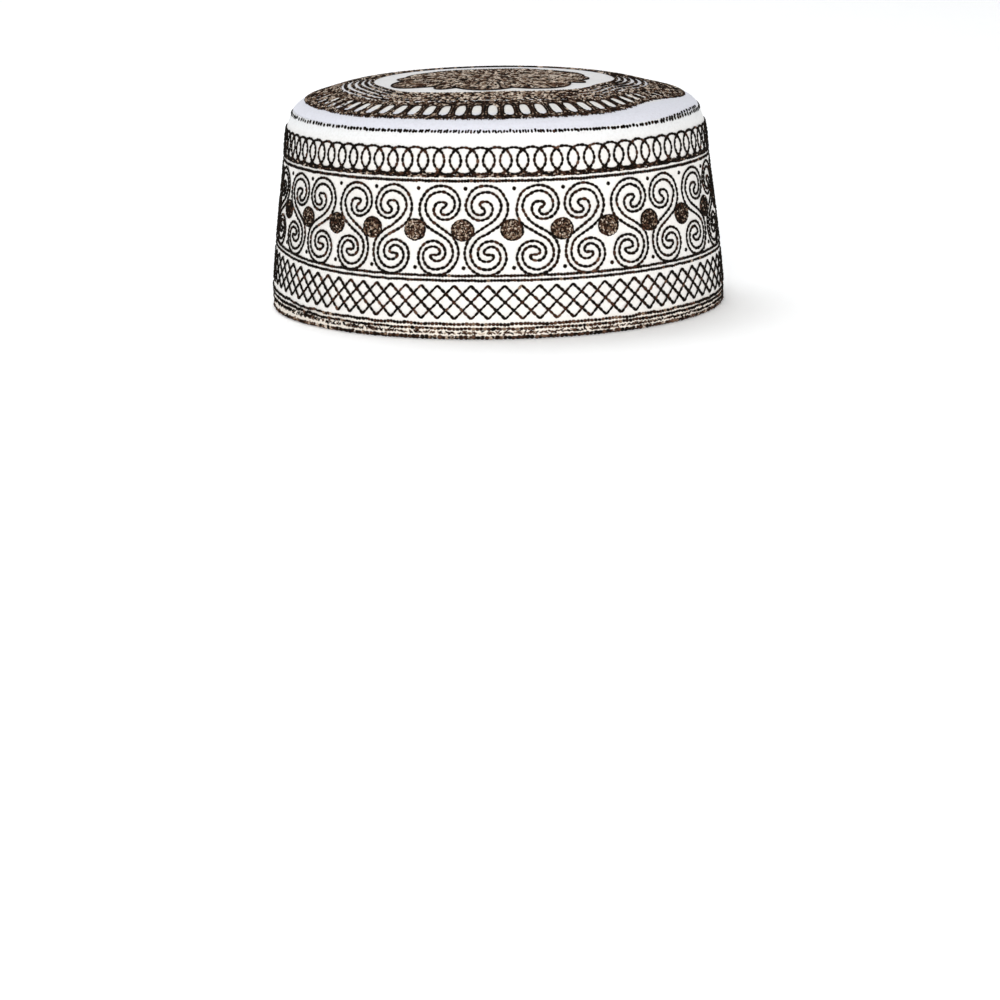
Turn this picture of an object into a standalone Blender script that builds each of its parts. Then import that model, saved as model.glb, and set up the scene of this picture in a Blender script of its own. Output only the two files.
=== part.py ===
"""A round embroidered prayer cap: a tapered side band, a shallow domed crown and a stitched lower edge.

Units are metres. +Z is up, the rim rests on Z = 0, and -Y is the front.
"""

import bpy
import numpy as np

MM = 0.001

# Driving dimensions, for a head of 58 cm round.
HEM_RADIUS = 94.0 * MM
SEAM_RADIUS = 84.5 * MM
SEAM_HEIGHT = 81.8 * MM
DOME_RISE = 13.2 * MM
BAND_WALL = 2.0 * MM
CROWN_WALL = 1.6 * MM
EDGE_HEIGHT = 1.2 * MM
EDGE_WIDTH = 2.8 * MM
EDGE_ROUND = 0.35 * MM
GAP = 0.3 * MM
TURN_STEPS = 96

# The band's outer wall between the hem and the seam. up: share of the wall's height.
# out: share of the taper from the seam's radius (0) out to the hem's radius (1).
BAND_SECTIONS = (
    {"up": 1.00, "out": 0.00},
    {"up": 0.965, "out": 0.10},
    {"up": 0.925, "out": 0.21},
    {"up": 0.875, "out": 0.30},
    {"up": 0.800, "out": 0.36},
    {"up": 0.690, "out": 0.45},
    {"up": 0.560, "out": 0.59},
    {"up": 0.420, "out": 0.73},
    {"up": 0.280, "out": 0.86},
    {"up": 0.150, "out": 0.96},
    {"up": 0.080, "out": 0.99},
)

# Soft ridges of the folded hem, between its rows of stitches. out: from the hem's radius.
HEM_RIBS = (
    {"height": 6.2 * MM, "out": -0.40 * MM},
    {"height": 5.35 * MM, "out": 0.00 * MM},
    {"height": 4.5 * MM, "out": -0.40 * MM},
    {"height": 3.5 * MM, "out": 0.05 * MM},
    {"height": 2.5 * MM, "out": -0.35 * MM},
    {"height": 1.5 * MM, "out": -0.10 * MM},
)

# The crown's outer face. across: share of the seam's radius. up: share of the dome's rise.
CROWN_SECTIONS = (
    {"across": 0.00, "up": 1.000},
    {"across": 0.12, "up": 0.990},
    {"across": 0.24, "up": 0.962},
    {"across": 0.36, "up": 0.918},
    {"across": 0.48, "up": 0.862},
    {"across": 0.58, "up": 0.792},
    {"across": 0.67, "up": 0.712},
    {"across": 0.76, "up": 0.620},
    {"across": 0.85, "up": 0.460},
    {"across": 0.93, "up": 0.290},
    {"across": 0.975, "up": 0.135},
    {"across": 1.00, "up": 0.000},
)

CLOTH = {"colour": (0.86, 0.85, 0.82), "roughness": 0.9}
THREAD = {"colour": (0.05, 0.035, 0.028), "roughness": 0.75}


def clear_scene():
    for old in list(bpy.data.objects):
        bpy.data.objects.remove(old, do_unlink=True)


def make_material(name, look):
    material = bpy.data.materials.new(name)
    material.use_nodes = True
    shader = material.node_tree.nodes["Principled BSDF"]
    shader.inputs["Base Color"].default_value = (*look["colour"], 1.0)
    shader.inputs["Roughness"].default_value = look["roughness"]
    shader.inputs["Metallic"].default_value = 0.0
    return material


def set_in(face, wall):
    """The same wall's inner face: each point of a profile moved in along its own normal.

    The profile runs down its outer side, so the inward normal is the direction of travel
    turned a quarter clockwise.
    """
    travel = np.gradient(face, axis=0)
    travel /= np.linalg.norm(travel, axis=1, keepdims=True)
    inward = np.column_stack((travel[:, 1], -travel[:, 0]))
    return face + wall * inward


def turn(name, profile, closed, material, collection):
    """A round piece: a profile of (radius, height) points turned once about Z."""
    points = [(radius, 0.0, height) for radius, height in profile]
    edges = [(i, i + 1) for i in range(len(points) - 1)]
    if closed:
        edges.append((len(points) - 1, 0))
    mesh = bpy.data.meshes.new(name)
    mesh.from_pydata(points, edges, [])
    piece = bpy.data.objects.new(name, mesh)
    collection.objects.link(piece)
    screw = piece.modifiers.new("Turn", "SCREW")
    screw.axis = "Z"
    screw.angle = 2 * np.pi
    screw.steps = TURN_STEPS
    screw.render_steps = TURN_STEPS
    screw.use_merge_vertices = True
    screw.merge_threshold = 0.01 * MM
    screw.use_smooth_shade = True
    mesh.materials.append(material)
    return piece


def band_profile():
    """The band's section: its outer wall from seam to hem ribs, then its inner wall back up."""
    taper = HEM_RADIUS - SEAM_RADIUS
    top = SEAM_HEIGHT - GAP
    wall = [(SEAM_RADIUS + row["out"] * taper, row["up"] * top) for row in BAND_SECTIONS]
    ribs = [(HEM_RADIUS + row["out"], row["height"]) for row in HEM_RIBS]
    inner = set_in(np.array(wall), BAND_WALL)
    inner[0, 1] = top
    foot = [(HEM_RADIUS - BAND_WALL, HEM_RIBS[-1]["height"])]
    return wall + ribs + foot + [tuple(point) for point in inner[::-1]]


def crown_profile():
    """The crown's section: its outer face from the apex to the seam, then its inner face back."""
    face = [(row["across"] * SEAM_RADIUS, SEAM_HEIGHT + row["up"] * DOME_RISE) for row in CROWN_SECTIONS]
    inner = set_in(np.array(face), CROWN_WALL)
    inner = inner[inner[:, 1] > SEAM_HEIGHT + GAP]
    inner[0, 0] = 0.0
    seat = [(SEAM_RADIUS - BAND_WALL, SEAM_HEIGHT)]
    return face + seat + [tuple(point) for point in inner[::-1]]


def edge_profile():
    """The stitched edge's section: a low bar with its corners cut, flat where it rests."""
    outer = HEM_RADIUS + GAP
    inner = outer - EDGE_WIDTH
    return [
        (outer - EDGE_ROUND, EDGE_HEIGHT),
        (outer, EDGE_HEIGHT - EDGE_ROUND),
        (outer, EDGE_ROUND),
        (outer - EDGE_ROUND, 0.0),
        (inner + EDGE_ROUND, 0.0),
        (inner, EDGE_ROUND),
        (inner, EDGE_HEIGHT - EDGE_ROUND),
        (inner + EDGE_ROUND, EDGE_HEIGHT),
    ]


def build():
    clear_scene()
    collection = bpy.data.collections.new("prayer_cap")
    bpy.context.scene.collection.children.link(collection)
    turn("side_band", band_profile(), True, make_material("band_cloth", CLOTH), collection)
    turn("crown", crown_profile(), False, make_material("crown_cloth", CLOTH), collection)
    turn("hem_edging", edge_profile(), True, make_material("edge_thread", THREAD), collection)


build()
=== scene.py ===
import math

import bmesh
import bpy
import numpy as np
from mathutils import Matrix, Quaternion, Vector


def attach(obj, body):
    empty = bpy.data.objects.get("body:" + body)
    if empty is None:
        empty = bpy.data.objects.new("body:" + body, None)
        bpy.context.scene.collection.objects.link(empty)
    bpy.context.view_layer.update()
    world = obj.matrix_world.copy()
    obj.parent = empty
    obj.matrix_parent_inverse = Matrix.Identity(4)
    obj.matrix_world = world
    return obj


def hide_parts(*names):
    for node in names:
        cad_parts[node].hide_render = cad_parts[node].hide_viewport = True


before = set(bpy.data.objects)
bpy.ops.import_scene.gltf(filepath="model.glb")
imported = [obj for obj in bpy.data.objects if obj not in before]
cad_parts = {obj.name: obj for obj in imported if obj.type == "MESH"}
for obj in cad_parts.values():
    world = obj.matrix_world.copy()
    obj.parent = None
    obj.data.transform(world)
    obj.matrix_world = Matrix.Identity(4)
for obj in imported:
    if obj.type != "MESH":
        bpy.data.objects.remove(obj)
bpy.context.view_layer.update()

# An embroidered prayer cap: two cotton shells, and over them the stitching, grain by grain.
# Lengths below are in millimetres and angles in degrees; meshes are written in metres.
mm = 0.001
fullTurn = 2 * math.pi
radian = 57.2958  # in degrees
dice = np.random.default_rng(28)
scene = bpy.context.scene
stitching = dict(band_cloth=[], crown_cloth=[], edge_thread=[])  # the stitched pieces of each slot

# Outer face of the side band: radius at each height, from the bound foot to the seam.
bandFace = [
    (1.5, 93.90), (2.5, 93.65), (3.5, 94.05), (4.5, 93.60), (5.35, 94.00), (6.2, 93.62),
    (7.4, 93.86), (12.2, 93.62), (22.8, 92.67), (34.2, 91.44), (45.6, 90.11), (56.2, 88.78),
    (65.2, 87.92), (71.3, 87.35), (75.4, 86.50), (78.65, 85.20), (80.4, 84.30), (81.5, 83.70),
]
# Outer face of the crown: height at each plan radius, from the middle to the seam.
crownFace = [
    (0.0, 93.32), (10.1, 93.26), (20.3, 93.10), (30.4, 92.82), (40.6, 92.41), (49.0, 91.86),
    (56.6, 91.06), (64.2, 89.90), (71.8, 87.87), (78.6, 85.45), (82.0, 83.45), (83.9, 81.45),
]
# The two cloths where they meet: radius at each height, from the band's shoulder to the crown's edge.
seamFace = [
    (79.0, 85.02), (80.4, 84.3), (81.5, 83.78), (82.4, 83.0), (83.45, 82.0), (84.6, 80.3), (86.0, 77.4),
]
capMake = dict(
    meanRadius=89.2,  # the band's pattern is drawn on a roll of this radius
    bandWall=1.6,
    crownWall=1.4,
    crownInside=82.6,  # the widest radius of its inner face
    crownDrift=0.6,  # how far the crown's middle sits to the left of the axis
    crownDent=1.0,  # how far the crown has sunk on its right
    crownLean=0.42,  # how far its middle stands up in front and lies down at the back
    crownSides=0.32,  # how far it has sunk near the edge on both sides
    # The crown's pattern is moved in or out: at an angle, over a width, so far outwards.
    pinches=((61.0, 16.0, -5.2), (-46.0, 18.0, 1.0)),
    ringTucks=((3.0, 19.0, -3.1), (-44.0, 13.0, 2.2), (46.0, 12.0, 1.2)),
    slotTucks=((32.0, 34.0, -0.9),),
    # The band's pattern has crept round to the right: at an angle, by so many degrees.
    creep=[
        (-180, 0), (-110, 2.2), (-85, 2.6), (-61, 2.45), (-48, 2.05), (-40, 1.52), (-32, 1.08), (-22, 0.62),
        (-9, 0.26), (4, -0.07), (17, -0.05), (31, -0.03), (39, 0.09), (48, 0.28), (58, 0.85), (65, 1.6),
        (72, 2.2), (95, 2.6), (130, 1.4), (180, 0),
    ],
    slimBand=0.009,  # the share by which the band is narrower from side to side
    slimCrown=0.004,
    leftSag=1.4,  # how far the top of the pattern hangs on the left
    leftRise=3.3,  # how far its lower half climbs towards the left edge
    rightSag=0.4,  # how far all of it hangs on the right
    edgeSag=0.9,  # how much more its top hangs at the right edge
    # Painted shade on the band's sides: there lighter stitches give way to dark ones.
    bandSideShade=0.9,  # the share of the band's lighter stitches that give way to dark ones at the sides
)


# A cubic between each pair of points, with the mean slope of its neighbours at each point.
def smoothThrough(marks, at):
    x, y = np.transpose(marks).astype(float)
    slope = np.gradient(y, x)
    i = np.clip(np.searchsorted(x, at, side="right") - 1, 0, len(x) - 2)
    h = x[i + 1] - x[i]
    t = np.clip((at - x[i]) / h, 0, 1)
    start = (1 + 2 * t) * (1 - t) ** 2 * y[i] + t * (1 - t) ** 2 * h * slope[i]
    return start + t * t * (3 - 2 * t) * y[i + 1] - t * t * (1 - t) * h * slope[i + 1]


# The band's outer radius at a height.
def bandRadius(height):
    return smoothThrough(bandFace, height)


# The crown's height at a plan radius.
def crownTop(radius):
    return smoothThrough(crownFace, radius)


# The share of the way from one value to another, which may be the smaller, held between 0 and 1.
def shareOfWay(value, first, last):
    return np.clip((value - first) / (last - first), 0, 1)


# A bell about an angle: exp(-((turn - at) / width)^2).
def bell(turn, at, width):
    return np.exp(-(((turn - at) / width) ** 2))


# Even shares of a turn: 0, 1/n, 2/n and so on.
def evenly(count):
    return np.arange(count) / count


# The same, each moved by up to a share of its step.
def nearlyEvenly(count, unevenness):
    return (np.arange(count) + dice.uniform(-unevenness, unevenness, count)) / count


# A line brought back to its first point.
def closedLine(line):
    return np.concatenate([line, line[:1]])


# 1 and -1 by turns.
def byTurns(count):
    return np.where(np.arange(count) % 2 == 0, 1.0, -1.0)


# A sine or cosine made fuller, for ovals with squarer shoulders: sign(v) |v|^(2 / squareness).
def fuller(v, squareness):
    return np.sign(v) * np.abs(v) ** (2 / squareness)


# Points (half width sin a, half height cos a) of an oval, clockwise from its top.
def oval(angles, halfWidth, halfHeight, squareness=2.0):
    wide, tall = fuller(np.sin(angles), squareness), fuller(np.cos(angles), squareness)
    return np.stack([halfWidth * wide, halfHeight * tall], -1)


# The length run so far at each point of a line.
def runAlong(line):
    return np.concatenate([[0], np.cumsum(np.linalg.norm(np.diff(line, axis=0), axis=1))])


# The pattern's height on the cap: its top hangs on the left by sin^2 of the angle, its lower half
# climbs there by sin^8, and on the right all of it hangs a little.
def hung(angle, height):
    toLeft, toRight = (-np.sin(angle)).clip(0), np.sin(angle).clip(0)
    aboveFoot = shareOfWay(height, 0, 8)
    rise = capMake["leftRise"] * toLeft**8 * shareOfWay(height, 60, 30) * aboveFoot
    sag = capMake["leftSag"] * toLeft**2 * (height - 25) / 55
    sag = sag + capMake["rightSag"] * np.clip(2.5 * toRight, 0, 1) * aboveFoot
    return height + rise - sag - capMake["edgeSag"] * toRight**8 * shareOfWay(height, 50, 65)


# The point (radius sin a, -radius cos a, height), lifted along the face's normal, and that normal.
def lifted(radius, angle, height, normal, lift, drift=0.0):
    point = np.stack([radius * np.sin(angle) - drift, -radius * np.cos(angle), height], -1)
    return point + normal * np.asarray(lift)[..., None], normal


# Point on the band, at a length along the roll and a height; the normal rises as the wall leans in.
def onBand(along, height, lift=0.0):
    angle = along / capMake["meanRadius"]
    height = hung(angle, height)
    turned = (np.degrees(angle) + 180) % 360 - 180
    angle = angle + np.radians(smoothThrough(capMake["creep"], turned))
    rise = (bandRadius(height - 0.3) - bandRadius(height + 0.3)) / 0.6
    normal = np.stack([np.sin(angle), -np.cos(angle), rise], -1) / np.sqrt(1 + rise * rise)[..., None]
    return lifted(bandRadius(height), angle, height, normal, lift)


# How far the crown has drifted left and sunk, at a plan radius and the sine and cosine of its angle.
def crownSlump(radius, sine, cosine):
    share = np.clip(radius / 84.5, 0, 1)
    drift = capMake["crownDrift"] * (1 - share**2) ** 2
    sunk = capMake["crownDent"] * sine.clip(0) ** 2 * np.sin(math.pi * share**3) ** 2
    sunk = sunk + capMake["crownSides"] * sine**2 * np.sin(math.pi * share**5) ** 2
    return drift, sunk - capMake["crownLean"] * cosine * 2.6 * share * (1 - share**2)


# Radii moved in or out by a bell about each angle, as far as the move acts there.
def moved(radius, turn, moves, acts):
    for at, width, far in moves:
        radius = radius + far * acts * bell(turn, at, width)
    return radius


# Point on the crown, at an angle and a plan radius, its rings moved, drifted and sunk a little.
def onCrown(along, radius, lift=0.0):
    angle = np.radians(along)
    turn = (along + 180) % 360 - 180
    outwards = 0.6 * shareOfWay(radius, 42, 54) + 0.4 * shareOfWay(radius, 54, 78)
    radius = moved(radius, turn, capMake["pinches"], outwards)
    inRings = shareOfWay(radius, 42, 48) * shareOfWay(radius, 70, 62)
    radius = moved(radius, turn, capMake["ringTucks"], inRings)
    inSlots = shareOfWay(radius, 60, 65) * shareOfWay(radius, 78, 74.5)
    radius = moved(radius, turn, capMake["slotTucks"], inSlots)
    fall = (crownTop(np.clip(radius + 0.4, 0.4, 83.9)) - crownTop(np.clip(radius - 0.4, 0, 83.1))) / 0.8
    normal = np.stack([-fall * np.sin(angle), fall * np.cos(angle), np.ones_like(fall)], -1)
    normal = normal / np.sqrt(1 + fall * fall)[..., None]
    drift, sunk = crownSlump(radius, np.sin(angle), np.cos(angle))
    return lifted(radius, angle, crownTop(np.clip(radius, 0, 83.9)) - sunk, normal, lift, drift)


# Puts arrays of corners into a mesh: points in millimetres, quads, triangles, and a UV for each corner.
# Nothing sinks into the table, and the cap is a little narrower from side to side.
def intoMesh(name, points, quads, material, threes=np.zeros((0, 3), int), uvs=None):
    toCrown = shareOfWay(points[:, 2], 78, 86)
    slim = capMake["slimBand"] * (1 - toCrown) + capMake["slimCrown"] * toCrown
    points = np.stack([points[:, 0] * (1 - slim), points[:, 1], points[:, 2].clip(0.02)], -1)
    mesh = bpy.data.meshes.new(name)
    corners = np.concatenate([quads.ravel(), threes.ravel()]).astype(np.int32)
    starts = np.concatenate([np.arange(len(quads)) * 4, len(quads) * 4 + np.arange(len(threes)) * 3])
    mesh.vertices.add(len(points))
    mesh.vertices.foreach_set("co", (points * mm).astype(np.float32).ravel())
    mesh.loops.add(len(corners))
    mesh.loops.foreach_set("vertex_index", corners)
    mesh.polygons.add(len(starts))
    mesh.polygons.foreach_set("loop_start", starts.astype(np.int32))
    if uvs is not None:
        mesh.uv_layers.new(name="OFBake").uv.foreach_set("vector", uvs.astype(np.float32).ravel())
    mesh.update(calc_edges=True)
    mesh.validate()
    mesh.shade_smooth()
    mesh.materials.append(material)
    piece = bpy.data.objects.new(name, mesh)
    scene.collection.objects.link(piece)
    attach(piece, "root")
    return piece


# Thread grains from A to B: an ellipse of width and thickness carried along, its size going
# as (sin pi t)^0.25, its middle lifted by an arch (sin pi t)^0.6 and its ends tucked in the cloth.
def threadGrains(a, b, normal, width, thick, tone, sides):
    count, rings = len(a), 3
    way = b - a
    way = way / np.maximum(np.linalg.norm(way, axis=1, keepdims=True), 1e-6)
    normal = normal - way * np.sum(normal * way, 1, keepdims=True)
    normal = normal / np.linalg.norm(normal, axis=1, keepdims=True)
    side = np.cross(normal, way)
    t = (np.arange(rings) + 0.55) / (rings + 0.1)
    swell = np.sin(math.pi * t) ** 0.25
    lift = np.sin(math.pi * t) ** 0.6 * 0.42 - 0.10
    around = (evenly(sides) * fullTurn)[None, None, :, None]
    middle = a[:, None] + (b - a)[:, None] * t[None, :, None]
    middle = middle + normal[:, None] * (lift[None, :] * thick[:, None])[..., None]
    out = np.cos(around) * side[:, None, None] * width[:, None, None, None]
    out = out + np.sin(around) * normal[:, None, None] * thick[:, None, None, None]
    body = middle[:, :, None] + 0.5 * out * swell[None, :, None, None]
    tips = np.stack([a, b], 1) - normal[:, None] * 0.12 * thick[:, None, None]
    points = np.concatenate([body.reshape(count, -1, 3), tips], 1)

    # Corners of one grain: a quad between rings, and a triangle from each tip to the ring beside it.
    j = np.arange(sides)
    k = (j + 1) % sides
    ring = np.arange(rings - 1)[:, None] * sides
    quads = np.stack([ring + j, ring + k, ring + k + sides, ring + j + sides], -1).reshape(-1, 4)
    last, tip = (rings - 1) * sides, np.full(sides, rings * sides)
    threes = np.concatenate([np.stack([tip, k, j], -1), np.stack([tip + 1, last + j, last + k], -1)])
    step = np.arange(count)[:, None, None] * points.shape[1]

    # UV: the share of the length, and the share of the way round within the lane of the tone.
    v0, v1 = j / sides, (j + 1) / sides
    low, high, middleV = t[:-1, None], t[1:, None], (v0 + v1) / 2
    quadUv = np.stack(np.broadcast_arrays(low, v0, low, v1, high, v1, high, v0), -1).reshape(-1, 4, 2)
    startUv = np.stack(np.broadcast_arrays(0.0, middleV, t[0], v1, t[0], v0), -1).reshape(-1, 3, 2)
    endUv = np.stack(np.broadcast_arrays(1.0, middleV, t[-1], v0, t[-1], v1), -1).reshape(-1, 3, 2)

    def inLane(uv):
        uv = np.broadcast_to(uv, (count, *uv.shape)).copy()
        uv[..., 0] = 0.02 + 0.96 * uv[..., 0]
        uv[..., 1] = (tone[:, None, None] + 0.06 + 0.88 * uv[..., 1]) / 8
        return uv.reshape(-1, 2)

    return (
        points.reshape(-1, 3), (quads + step).reshape(-1, 4), (threes + step).reshape(-1, 3),
        inLane(quadUv), inLane(np.concatenate([startUv, endUv])),
    )


# Joins several bundles of grains into one piece.
def sewPiece(name, bundles, slot):
    points, quads, threes, quadUvs, threeUvs = zip(*bundles)
    bases = np.cumsum([0, *map(len, points)])
    quads = np.concatenate([q + base for q, base in zip(quads, bases)])
    threes = np.concatenate([t + base for t, base in zip(threes, bases)])
    uvs = np.concatenate(quadUvs + threeUvs)
    piece = intoMesh(name, np.concatenate(points), quads, darkThread, threes, uvs)
    print(f"{name}: {2 * len(quads) + len(threes)} triangles")
    stitching[slot].append(piece)
    return piece


# Tones of thread from 0 (black) to at most 7 (tan): drawn by the shares given. The tan tones are partly
# painted highlights.
def drawTones(count, shares):
    shares = np.array(shares, float)
    return dice.choice(len(shares), size=count, p=shares / shares.sum())


# Straight grains between needle holes that lie on a face, each a pair (along, across).
# At the band's sides, as painted shade, and by the share that darkened gives, tones are drawn again among the
# dark.
def sew(face, start, end, width, thick, tones, sides=5, lift=0.08, overlap=0.18, darkened=None, bolder=0.0):
    start, end = start.reshape(-1, 2), end.reshape(-1, 2)
    count = len(start)
    tone = drawTones(count, tones)
    a, normalA = face(start[:, 0], start[:, 1], lift)
    b, normalB = face(end[:, 0], end[:, 1], lift)
    way = (b - a) / np.maximum(np.linalg.norm(b - a, axis=1, keepdims=True), 1e-6)
    a, b = a - way * overlap, b + way * overlap
    width = np.full(count, width) * dice.uniform(0.90, 1.12, count)
    if face is onBand:
        toSide = (a[:, 0] / capMake["meanRadius"]) ** 2
        width = width * (1 + bolder * toSide)
        # Painted shade: at the band's sides the lighter stitches turn dark.
        gone = dice.uniform(0, 1, count) < capMake["bandSideShade"] * toSide
        tone = np.where(gone, dice.integers(0, 2, count), tone)
    if darkened is not None:
        gone = dice.uniform(0, 1, count) < darkened(start)
        tone = np.where(gone, dice.integers(0, 3, count), tone)
    thick = np.full(count, thick) * dice.uniform(0.90, 1.12, count)
    return threadGrains(a, b, normalA + normalB, width, thick, tone, sides)


# Short stitches about their middles; each lies at an angle, in radians, from the line along the face.
def sewShort(face, middle, lie, length, **stitch):
    half = np.stack([np.cos(lie), np.sin(lie)], -1) * np.asarray(length)[..., None] / 2
    return sew(face, middle - half, middle + half, **stitch)


# Needle holes along a line of points, in even steps near the pitch.
def holesAlong(line, pitch):
    run = runAlong(line)
    at = np.linspace(0, run[-1], max(2, int(round(run[-1] / pitch))) + 1)
    return np.stack([np.interp(at, run, line[:, 0]), np.interp(at, run, line[:, 1])], -1)


# A closed curve through given points: x and y are each smoothed over the length run so far.
def closedCurve(marks, samples):
    marks = np.concatenate([marks[-4:], marks, marks[:4]])
    run = runAlong(marks)
    at = np.linspace(run[4], run[-4], samples)
    return np.stack([smoothThrough(np.stack([run, side], -1), at) for side in marks.T], -1)


# One pattern set many times round: copies at the given places, every hole with its own slip.
# It gives the holes where the stitches start and those where they end.
def repeatHoles(holes, places, slip, closed=False):
    holes = holes + np.stack([places, np.zeros_like(places)], -1)[:, None]
    holes = holes + dice.normal(0, slip, holes.shape)
    if closed:
        holes[:, -1] = holes[:, 0]
    return holes[:, :-1], holes[:, 1:]


# Quads of a grid of rows by steps, closed round.
def gridQuads(rowCount, steps):
    i, j = np.meshgrid(np.arange(rowCount - 1), np.arange(steps), indexing="ij")
    m, i = (j + 1) % steps, i * steps
    return np.stack([i + j, i + m, i + steps + m, i + steps + j], -1).reshape(-1, 4)


# Low cushions of close filling, one at each place: rings of points (along, across) on a face.
def padPiece(name, face, places, rings, lift, slot, flipped=True):
    along = places[:, None, None] + rings[..., 0]
    across = np.broadcast_to(rings[..., 1], along.shape)
    points, _ = face(along, across, np.broadcast_to(lift, along.shape))
    one = gridQuads(*rings.shape[:2])
    if flipped:
        one = one[:, ::-1]
    quads = one + np.arange(len(places))[:, None, None] * rings[..., 0].size
    stitching[slot].append(intoMesh(name, points.reshape(-1, 3), quads.reshape(-1, 4), closeFill))


# Material helpers: an input takes a number, a colour or another node's output.
def feed(tree, node, inputs):
    for key, value in inputs.items():
        entry = node.inputs[key]
        if isinstance(value, bpy.types.NodeSocket):
            tree.links.new(value, entry)
        else:
            entry.default_value = (*value, 1) if entry.type == "RGBA" else value


# A node of one kind, with its settings made and its inputs fed.
def addNode(tree, kind, inputs=None, **settings):
    node = tree.nodes.new("ShaderNode" + kind)
    for key, value in settings.items():
        setattr(node, key, value)
    feed(tree, node, inputs or {})
    return node


# One operation on numbers or on other nodes' outputs.
def maths(tree, operation, *values):
    return addNode(tree, "Math", dict(enumerate(values)), operation=operation).outputs[0]


# Noise between 0 and 1, with about so many grains to the metre.
def noise(tree, place, scale, detail, roughness=0.5):
    inputs = dict(Vector=place, Scale=scale, Detail=detail, Roughness=roughness)
    return addNode(tree, "TexNoise", inputs).outputs["Fac"]


# A colour for each place along the factor; a single number is a grey.
def rampNode(tree, factor, stops, interpolation="LINEAR"):
    ramp = addNode(tree, "ValToRGB", {0: factor})
    ramp.color_ramp.interpolation = interpolation
    band = ramp.color_ramp.elements
    while len(band) < len(stops):
        band.new(0.5)
    for element, (place, color) in zip(band, stops):
        element.position = place
        element.color = (*(color if isinstance(color, tuple) else (color,) * 3), 1)
    return ramp.outputs[0]


# From the first colour to the second by the factor, or the two blended in another way.
def mixColor(tree, factor, first, second, blend="MIX"):
    inputs = {0: factor, 6: first, 7: second}
    return addNode(tree, "Mix", inputs, data_type="RGBA", blend_type=blend).outputs[2]


# A smooth step from 0 to 1 between two heights.
def stepUp(tree, up, first, last):
    inputs = {0: up, 1: first * mm, 2: last * mm}
    return addNode(tree, "MapRange", inputs, interpolation_type="SMOOTHSTEP").outputs[0]


# The surface tilted by the slope of a pattern's height; the depth is in millimetres.
def bumpNode(tree, height, strength, depth, **more):
    inputs = dict(Height=height, Strength=strength, Distance=depth * mm, **more)
    return addNode(tree, "Bump", inputs).outputs[0]


# A new material and the tree of its nodes.
def newMaterial(name):
    material = bpy.data.materials.new(name)
    material.use_nodes = True
    return material, material.node_tree


# The place on the object, in metres.
def readPlace(tree):
    return addNode(tree, "TexCoord").outputs["Object"]


# The share of the way along and up the piece's own UV map.
def readUv(tree):
    return addNode(tree, "SeparateXYZ", {0: addNode(tree, "UVMap", uv_map="OFBake").outputs[0]}).outputs


# What the surface shows: its colour, its roughness and how much it shines.
def finishShader(tree, color, roughness, gloss, **more):
    inputs = {"Base Color": color, "Roughness": roughness, "Specular IOR Level": gloss}
    feed(tree, tree.nodes["Principled BSDF"], {**inputs, **more})


cottonLook = dict(
    threadsRound=1500,
    white=(0.89, 0.87, 0.84),
    shade=(0.845, 0.828, 0.805),
    # Warm cream at the band's foot, partly stain and partly painted warm light from below.
    hemStainAndWarmLight=(0.89, 0.825, 0.745),
    # Painted cool shade near the seam: the band greyer and bluer between these heights.
    seamCoolShade=(0.845, 0.855, 0.865),
    seamCoolShadeHeights=(72, 79),
    # Painted shade on the crown: darker and bluer from the top down to its margin.
    crownMarginShade=(0.72, 0.73, 0.80),
    # Greyer cream in the slots: partly the cloth's cream, partly painted shade in the recesses.
    slotCreamAndShade=(0.80, 0.785, 0.76),
    ringStops=((0.0, 0), (0.636, 0), (0.644, 1), (0.72, 1), (0.75, 0)),  # at tenths of a metre
    fleck=(0.93, 0.925, 0.92),
    roughness=0.82,
    sheen=0.12,
    gloss=0.25,
    weaveDepth=0.06,
    puckerDepth=0.5,
    puckerScale=520.0,  # grains of noise to the metre
    slubScale=900.0,
    cloudScale=55.0,
)


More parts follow.
